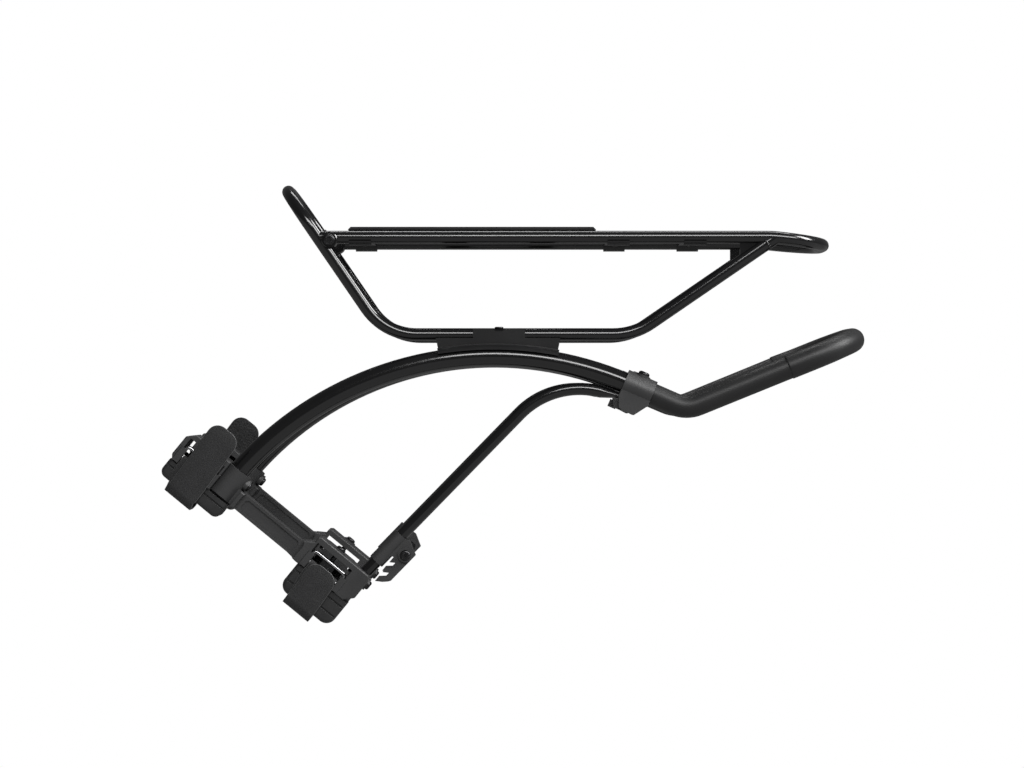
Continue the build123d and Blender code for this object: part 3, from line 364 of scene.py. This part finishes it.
slot_of_node = {part["node"]: part["material_slot"] for part in frame["record"]["subparts"]}
for node_name, slot_name in slot_of_node.items():
    if slot_name in hard_finishes:
        dress(node_name, hard_finishes[slot_name])
print("dressed", sum(name in hard_finishes for name in slot_of_node.values()), "nodes")

# %% [markdown]
# ## Soft finishes
# Webbing is woven: ribs run across it, warp threads run along it, and its edges are painted a lighter grey,
# a painted highlight where they catch light. Its inner face is a field of tiny hooks. Rubber is a smooth
# mould copy with a dull bloom, and the sleeves are foam, whose skin shows fine open cells, each pit
# darkened with painted shade.

# %% Make the soft finishes
ARM_SLOPE = radians(50.6)
ALONG = Vector((sin(ARM_SLOPE), 0, -cos(ARM_SLOPE)))
DOWN = Vector((-cos(ARM_SLOPE), 0, -sin(ARM_SLOPE)))
WEAVE_RIB = 0.0009
WEAVE_WARP = 0.0007


def arm_slope_coordinates(finish):
    """Place across and along the webbing, since the arms lean in the side view."""
    x, y, z = (finish.node("ShaderNodeSeparateXYZ", None, {0: finish.place}, name) for name in "XYZ")
    across = x * ALONG.x + z * ALONG.z
    along = x * DOWN.x + z * DOWN.z
    return across, y, along


def woven(name, hooked):
    """Hook-and-loop webbing: fine ribs and warp threads, with a fuzzy nap of loops or hooks."""
    finish = Finish(name, "webbing", Sheen_Weight=0.12, Sheen_Roughness=0.5, Specular_IOR_Level=0.3)
    across, sideways, along = arm_slope_coordinates(finish)
    rib = ((along + sideways) * (2 * pi / WEAVE_RIB)).sine()
    warp = (across * (2 * pi / WEAVE_WARP)).sine()
    weave = rib * warp * 0.5 + 0.5
    nap = finish.cells(0.0016 if hooked else 0.0005)
    fluff = finish.noise(0.0004, 4)
    lint = finish.ramp(finish.noise(0.0022, 6), (0.62, 0.0), (0.78, 1.0))
    cloud = finish.noise(0.012, 3)
    speck = finish.ramp(finish.noise(0.0014 if hooked else 0.0009, 3), (0.4, 0.0), (0.65, 1.0))
    tone = cloud * 0.35 + weave * 0.15 + lint * 0.3 + speck * 0.35
    light = (0.062, 0.062, 0.063) if hooked else (0.046, 0.046, 0.047)
    finish.set(Base_Color=finish.between(tone, (0.010, 0.010, 0.0104), light))
    finish.set(Roughness=fluff * 0.2 + 0.66)
    relief = finish.bump(weave, 0.00008, 0.5)
    finish.set(Normal=finish.bump(nap + fluff * 0.4, 0.0006 if hooked else 0.00025, 0.8, relief))
    return finish


def moulded_rubber():
    finish = Finish("black_pad_rubber", "pad_rubber", Specular_IOR_Level=0.4)
    skin = finish.noise(0.0006, 4)
    bloom = finish.noise(0.011, 4)
    dust = finish.ramp(finish.noise(0.0018, 5), (0.55, 0.0), (0.75, 1.0))
    finish.set(Base_Color=finish.between(bloom * 0.7 + dust * 0.3, (0.014, 0.014, 0.0142), (0.042, 0.042, 0.043)))
    finish.set(Roughness=bloom * 0.14 + skin * 0.1 + 0.32)
    finish.set(Normal=finish.bump(skin, 0.00005, 0.5))
    return finish


def sleeve_foam():
    finish = Finish("black_sleeve_foam", "grip_rubber", Specular_IOR_Level=0.35)
    pore_pits_and_shade = finish.cells(0.0008)
    skin = finish.noise(0.0005, 5)
    bloom = finish.noise(0.02, 4)
    # The pore pattern both sinks each pit and darkens the colour in it: painted shade inside the pores.
    finish.set(Base_Color=finish.between(bloom * 0.8 + pore_pits_and_shade * 0.3, (0.010, 0.010, 0.0102), (0.022, 0.022, 0.0225)))
    finish.set(Roughness=bloom * 0.12 + skin * 0.1 + 0.33)
    finish.set(Normal=finish.bump(pore_pits_and_shade * 0.6 + skin, 0.00006, 0.6))
    return finish


def painted_edge_highlight():
    """The webbing's rim: a painted highlight, lighter grey where its edges catch light, and a little shiny from heat.
    """
    finish = Finish("webbing_edge_highlight", "webbing", Specular_IOR_Level=0.6)
    thread = finish.noise(0.0007, 4)
    finish.set(Base_Color=finish.between(thread, (0.05, 0.05, 0.0505), (0.14, 0.14, 0.141)))
    finish.set(Roughness=thread * 0.2 + 0.4)
    finish.set(Normal=finish.bump(thread, 0.0001, 0.5))
    return finish


loop_webbing = woven("loop_webbing", False)
# The rim finish is a painted highlight: the webbing's edges get a lighter grey where they catch light.
edge_highlight = painted_edge_highlight()
hook_webbing = woven("hook_webbing", True)
pad_rubber = moulded_rubber()
foam = sleeve_foam()
print("soft finishes: webbing, hooks, rubber, foam")

# %% [markdown]
# ## Straps
# A strap starts sewn round the ring's bar, goes round the seat stay, folds over a bar on the arm's inner
# face, and comes back round the stay under itself. A path of straight runs and bends, followed by one
# rounded section, makes it. Each run is an extrusion and each bend is a spin, so every bend is a true
# arc. The webbing hangs a little askew, so the finished mesh is sheared along the arm.

# %% Frame of a mount arm and the path of its webbing
ARM_ORIGIN = (-188.998, 55.0, -201.320)
SIDES = {"left": -1, "right": 1}
STATION_U = {"upper": -26.5, "lower": 98.8}
BOTTOM_V = {"upper": 27.5, "lower": 36.1}
SKEW = {"upper": 4.5, "lower": 2.9}
FLAP_END_V = {"upper_left": -36.8, "upper_right": -42.3, "lower_left": -2.4, "lower_right": -4.0}
STRAP_HALF = 12.5
STRAP_T = 1.2
RING_O, RING_V = 10.0, 1.6
TAIL_V = 4.9
SKEW_START_V = 10.0
EYE_R = 2.2
OUTER_O, INNER_O, BACK_O, FLAP_O = 12.2, -12.4, -16.4, 13.8
FOLD_V = -4.3
LAYER_STEP = 1.4
BEND_R, BACK_R, FLAP_R = 5.0, 8.0, 6.4


def to_world(side):
    """Matrix from an arm's own axes, in millimetres, to the shared frame."""
    x, y, z = ARM_ORIGIN
    columns = (ALONG, Vector((0, SIDES[side], 0)), DOWN)
    turn = Matrix([[column[row] for column in columns] for row in range(3)]).to_4x4()
    return Matrix.Scale(MM, 4) @ Matrix.Translation((x, y * SIDES[side], z)) @ turn


def hinge_v(level):
    """Height where the free end of a strap starts."""
    return BOTTOM_V[level] + LAYER_STEP - FLAP_R - 0.2


class Ribbon:
    """A rounded flat section that grows along a path of runs and bends."""

    def __init__(self, half_width, thickness, o, v):
        self.mesh = bmesh.new()
        bmesh.ops.create_grid(self.mesh, x_segments=1, y_segments=1, size=0.5)
        bmesh.ops.scale(self.mesh, vec=(2 * half_width, thickness, 1), verts=self.mesh.verts)
        bmesh.ops.bevel(self.mesh, geom=self.mesh.verts[:], offset=thickness * 0.46, segments=3, profile=0.5,
                        affect="VERTICES", material=-1)
        bmesh.ops.translate(self.mesh, vec=(0, o, v), verts=self.mesh.verts)
        self.front = self.mesh.verts[:] + self.mesh.edges[:] + self.mesh.faces[:]
        self.length = 0.0

    def run(self, o, v, steps=1):
        """Straight run by a step in o and v."""
        for _ in range(steps):
            made = bmesh.ops.extrude_face_region(self.mesh, geom=self.faces(self.front))["geom"]
            bmesh.ops.delete(self.mesh, geom=self.faces(self.front), context="FACES_ONLY")
            self.front = made
            verts = [item for item in made if isinstance(item, bmesh.types.BMVert)]
            bmesh.ops.translate(self.mesh, vec=(0, o / steps, v / steps), verts=verts)
        self.length += (o * o + v * v) ** 0.5

    def bend(self, centre_o, centre_v, degrees, steps):
        """Bend about a line along the arm; positive turns from o towards v."""
        verts = [item for item in self.front if isinstance(item, bmesh.types.BMVert)]
        middle = sum((vert.co for vert in verts), Vector()) / len(verts)
        radius = (middle - Vector((middle.x, centre_o, centre_v))).length
        for _ in range(steps):
            made = bmesh.ops.extrude_face_region(self.mesh, geom=self.faces(self.front))["geom"]
            bmesh.ops.delete(self.mesh, geom=self.faces(self.front), context="FACES_ONLY")
            self.front = made
            verts = [item for item in made if isinstance(item, bmesh.types.BMVert)]
            bmesh.ops.rotate(self.mesh, cent=(0, centre_o, centre_v), verts=verts,
                             matrix=Matrix.Rotation(radians(degrees / steps), 3, "X"))
        self.length += radius * abs(radians(degrees))

    def faces(self, geom):
        return [item for item in geom if isinstance(item, bmesh.types.BMFace)]


def finished(mesh, name, finish, smooth=radians(40)):
    """Turn a bmesh into a shown object with one finish, smooth except at sharp edges."""
    bmesh.ops.recalc_face_normals(mesh, faces=mesh.faces)
    for face in mesh.faces:
        face.smooth = True
    for edge in mesh.edges:
        if len(edge.link_faces) == 2 and edge.calc_face_angle(0) > smooth:
            edge.smooth = False
    data = bpy.data.meshes.new(name)
    mesh.to_mesh(data)
    mesh.free()
    piece = bpy.data.objects.new(name, data)
    bpy.context.scene.collection.objects.link(piece)
    data.materials.append(finish.material)
    return piece


print("arm frame at", ARM_ORIGIN)

# %% [markdown]
# ## Webbing round the seat stays
# The skew has to be nothing at the ring, where the bar holds the webbing square, and grow down to the
# bottom of the loop. The free end starts from there and straightens again towards its tip.

# %% Build the four straps
def skewed(level, start_v, start, end_v, end):
    """Shift along the arm that grows smoothly from one height to another."""
    def shift(v):
        t = min(max((v - start_v) / (end_v - start_v), 0), 1)
        return start + (end - start) * t * t * (3 - 2 * t)
    return shift


def place_ribbon(mesh, level, side, shift):
    """Shear a ribbon, put it at its station, and move it to the shared frame."""
    for vert in mesh.verts:
        vert.co.x += STATION_U[level] + shift(vert.co.z)
    bmesh.ops.transform(mesh, matrix=to_world(side), verts=mesh.verts)


def add_edge_highlight(piece, is_edge):
    """Give the faces round a webbing's rim the finish with the painted edge highlight."""
    piece.data.materials.append(edge_highlight.material)
    for face in piece.data.polygons:
        if is_edge(face.normal):
            face.material_index = len(piece.data.materials) - 1


def build_strap(level, side):
    first = BOTTOM_V[level]
    back = first + LAYER_STEP
    web = Ribbon(STRAP_HALF, STRAP_T, RING_O - EYE_R, TAIL_V)
    web.run(0, RING_V - TAIL_V, 3)
    web.bend(RING_O, RING_V, 180, 14)
    web.run(0, first - BEND_R - RING_V, 6)
    web.bend(OUTER_O - BEND_R, first - BEND_R, 90, 8)
    web.run(INNER_O - OUTER_O + 2 * BEND_R, 0, 5)
    web.bend(INNER_O + BEND_R, first - BEND_R, 90, 8)
    web.run(0, FOLD_V - first + BEND_R, 8)
    web.bend((INNER_O + BACK_O) / 2, FOLD_V, -180, 12)
    web.run(0, back - BACK_R - FOLD_V, 8)
    web.bend(BACK_O + BACK_R, back - BACK_R, -90, 10)
    web.run(FLAP_O - FLAP_R - BACK_O - BACK_R, 0, 5)
    web.bend(FLAP_O - FLAP_R, back - FLAP_R, -90, 10)
    web.run(0, hinge_v(level) - back + FLAP_R)
    place_ribbon(web.mesh, level, side, skewed(level, SKEW_START_V, 0, first, SKEW[level]))
    return web


straps = {}
for level in STATION_U:
    for side in SIDES:
        name = level + "_" + side
        web = build_strap(level, side)
        strap = finished(web.mesh, "webbing_" + name, loop_webbing)
        add_edge_highlight(strap, lambda normal: abs(normal.dot(ALONG)) > 0.5)
        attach(strap, "ring_" + name)
        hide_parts("strap_" + name)
        straps[name] = strap

# %% [markdown]
# ## Free ends
# A free end lies on the strap and has a rounded tip.

# %% Build the four free ends
FLAP_CORNER = 9.0
PEEL_ZONE = 6.0


def build_flap(level, side):
    name = level + "_" + side
    start, end = hinge_v(level), FLAP_END_V[name]
    mesh = bmesh.new()
    bmesh.ops.create_grid(mesh, x_segments=1, y_segments=1, size=0.5)
    bmesh.ops.scale(mesh, vec=(2 * STRAP_HALF, start - end, 1), verts=mesh.verts)
    bmesh.ops.translate(mesh, vec=(0, (start + end) / 2, 0), verts=mesh.verts)
    tips = [vert for vert in mesh.verts if vert.co.y < (start + end) / 2]
    bmesh.ops.bevel(mesh, geom=tips, offset=FLAP_CORNER, segments=10, profile=0.5, affect="VERTICES", material=-1)
    bmesh.ops.rotate(mesh, cent=(0, 0, 0), matrix=Matrix.Rotation(radians(90), 3, "X"), verts=mesh.verts)
    for step in range(1, 24):
        place = end + FLAP_CORNER + (start - end - FLAP_CORNER) * step / 24
        bmesh.ops.bisect_plane(mesh, geom=mesh.verts[:] + mesh.edges[:] + mesh.faces[:],
                               plane_co=(0, 0, place), plane_no=(0, 0, 1))
    bmesh.ops.translate(mesh, vec=(0, FLAP_O - STRAP_T / 2, 0), verts=mesh.verts)
    made = bmesh.ops.extrude_face_region(mesh, geom=mesh.faces[:])["geom"]
    outer = [item for item in made if isinstance(item, bmesh.types.BMVert)]
    bmesh.ops.translate(mesh, vec=(0, STRAP_T, 0), verts=outer)
    inner_faces = [face for face in mesh.faces if all(abs(v.co.y - FLAP_O + STRAP_T / 2) < 0.01 for v in face.verts)]
    for face in inner_faces:
        face.material_index = 1
    bmesh.ops.recalc_face_normals(mesh, faces=mesh.faces)
    rim = [edge for edge in mesh.edges if len(edge.link_faces) == 2 and edge.calc_face_angle(0) > 1.2
           and min(vert.co.z for vert in edge.verts) < start - 0.01]
    bmesh.ops.bevel(mesh, geom=rim, offset=STRAP_T * 0.45, segments=3, profile=0.5, affect="EDGES", material=-1)
    tip_skew = SKEW[level] * 0.43
    place_ribbon(mesh, level, side, skewed(level, end, tip_skew, start, SKEW[level]))
    return mesh


def arm_point(level, side, o, v):
    return to_world(side) @ Vector((STATION_U[level], o, v))


for level in STATION_U:
    for side in SIDES:
        name = level + "_" + side
        width, length = 2 * STRAP_HALF, hinge_v(level) - FLAP_END_V[name]
        area = width * length - 2 * FLAP_CORNER ** 2 * (1 - pi / 4)
        flap = finished(build_flap(level, side), "free_end_" + name, loop_webbing)
        flap.data.materials.append(hook_webbing.material)
        add_edge_highlight(flap, lambda normal: abs(normal.y) < 0.9)
        start = arm_point(level, side, FLAP_O, hinge_v(level))
        end = arm_point(level, side, FLAP_O, hinge_v(level) - PEEL_ZONE)
        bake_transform(flap)
        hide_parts("strap_flap_" + name)
        print(flap.name, "flat", round(width, 1), "x", round(length, 1), "mm")

# %% [markdown]
# ## Rubber pads
# Each pad is a channel moulded in rubber with grooves along its sides. Its CAD shape is right but its
# edges are sharp, so a merged copy gets small rounds from a Bevel modifier.

# %% Copy and soften the pads
def merged_copy(node_name, name, finish):
    """Copy of a CAD node with its doubled vertices joined and a new finish."""
    mesh = bmesh.new()
    mesh.from_mesh(nodes[node_name].data)
    bmesh.ops.remove_doubles(mesh, verts=mesh.verts, dist=1e-6)
    bmesh.ops.dissolve_limit(mesh, angle_limit=radians(2), verts=mesh.verts, edges=mesh.edges)
    return finished(mesh, name, finish, radians(28))


for level in STATION_U:
    for side in SIDES:
        name = "pad_" + level + "_" + side
        pad = merged_copy(name, "soft_" + name, pad_rubber)
        bevel = pad.modifiers.new("moulded_edges", "BEVEL")
        bevel.width = 0.00055
        bevel.segments = 3
        bevel.limit_method = "ANGLE"
        bevel.angle_limit = radians(35)
        bevel.harden_normals = True
        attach(pad, "root")
        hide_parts(name)
print("4 rubber pads")

# %% [markdown]
# ## Foam sleeves
# Two thin sleeves cover the loop's legs and a thicker one its rear end. Foam tube is never quite even,
# so the copy of each sleeve swells and shrinks by a tenth of a millimetre along its length.

# %% Copy the sleeves with a little unevenness
LEG_LOW = (0.1645, -0.1410)
LEG_END = (0.2969, -0.0873)
SEAM_X = 0.244
SEAM_STEP = 0.0005


def uneven_sleeves():
    mesh = bmesh.new()
    mesh.from_mesh(nodes["loop_grip"].data)
    bmesh.ops.remove_doubles(mesh, verts=mesh.verts, dist=1e-6)
    mesh.normal_update()
    low, end = Vector((LEG_LOW[0], 0, LEG_LOW[1])), Vector((LEG_END[0], 0, LEG_END[1]))
    leg = (end - low).normalized()
    for vert in mesh.verts:
        from_axis = Vector((vert.co.x, abs(vert.co.y) - 0.055, vert.co.z)) - low
        along = from_axis.dot(leg)
        is_outside = (from_axis - leg * along).length > 0.008
        swell = min(max((vert.co.x - 0.19) / (SEAM_X - 0.19), 0), 1) if vert.co.x < SEAM_X and is_outside else 0
        lump = noise.noise(vert.co / 0.022) * 0.00014
        vert.co += vert.normal * (lump + SEAM_STEP * swell * swell)
    return finished(mesh, "foam_sleeves", foam, radians(50))


sleeves = uneven_sleeves()
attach(sleeves, "root")
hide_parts("loop_grip")
print("foam sleeves on the loop")

# %% [markdown]
# ## Weld beads
# Welded aluminium tubes carry a bead with a row of overlapping ripples, like a stack of coins. A thin
# ring is spun round the joint for each bead, and its ripples are real bumps in the ring's thickness.

# %% Run the weld beads
BEAD_R = 0.9
BEAD_RIPPLES = 26


def weld_ring(name, place, axis, radius, side):
    """A rippled bead round a tube, in a plane square to an axis."""
    mesh = bmesh.new()
    bmesh.ops.create_circle(mesh, segments=8, radius=BEAD_R)
    bmesh.ops.rotate(mesh, cent=(0, 0, 0), matrix=Matrix.Rotation(radians(90), 3, "X"), verts=mesh.verts)
    bmesh.ops.translate(mesh, vec=(radius, 0, 0), verts=mesh.verts)
    bmesh.ops.spin(mesh, geom=mesh.verts[:] + mesh.edges[:], cent=(0, 0, 0), axis=(0, 0, 1), angle=2 * pi,
                   steps=BEAD_RIPPLES * 4, use_merge=True)
    bmesh.ops.remove_doubles(mesh, verts=mesh.verts, dist=1e-4)
    for vert in mesh.verts:
        turn = Vector((vert.co.x, vert.co.y)).angle_signed(Vector((1, 0)))
        middle = Vector((vert.co.x, vert.co.y, 0)).normalized() * radius
        swell = 0.82 + 0.22 * abs(sin(turn * BEAD_RIPPLES / 2)) + 0.12 * noise.noise(Vector((turn * 3, radius, side)))
        vert.co = middle + (vert.co - middle) * swell
    turn = Vector((0, 0, 1)).rotation_difference(Vector(axis)).to_matrix().to_4x4()
    bmesh.ops.transform(mesh, matrix=Matrix.Translation(Vector(place) * MM) @ turn @ Matrix.Scale(MM, 4),
                        verts=mesh.verts)
    bead = finished(mesh, name, hard_finishes["frame_paint"], radians(180))
    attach(bead, "root")
    return bead


FRONT_LEG = radians(55.6)
RISER = radians(34.4)
DECK_Z, LOWER_Z = -8.6, -83.6
FRONT_CORNER_X, REAR_CORNER_X = -67.0, 124.9
front_joint = FRONT_CORNER_X - (DECK_Z - LOWER_Z) * cos(FRONT_LEG) / sin(FRONT_LEG)
rear_joint = REAR_CORNER_X + (DECK_Z - LOWER_Z) * cos(RISER) / sin(RISER)
beads = 0
for side, sign in SIDES.items():
    y = 45.0 * sign
    weld_ring("weld_front_" + side, (front_joint + 5.6, y, DECK_Z), (1, 0, 0), 5.0, sign)
    riser_foot = (rear_joint - 8.6 * cos(RISER), y, DECK_Z - 8.6 * sin(RISER))
    weld_ring("weld_riser_" + side, riser_foot, (cos(RISER), 0, sin(RISER)), 5.0, sign + 3)
    beads += 2
print(beads, "weld beads")
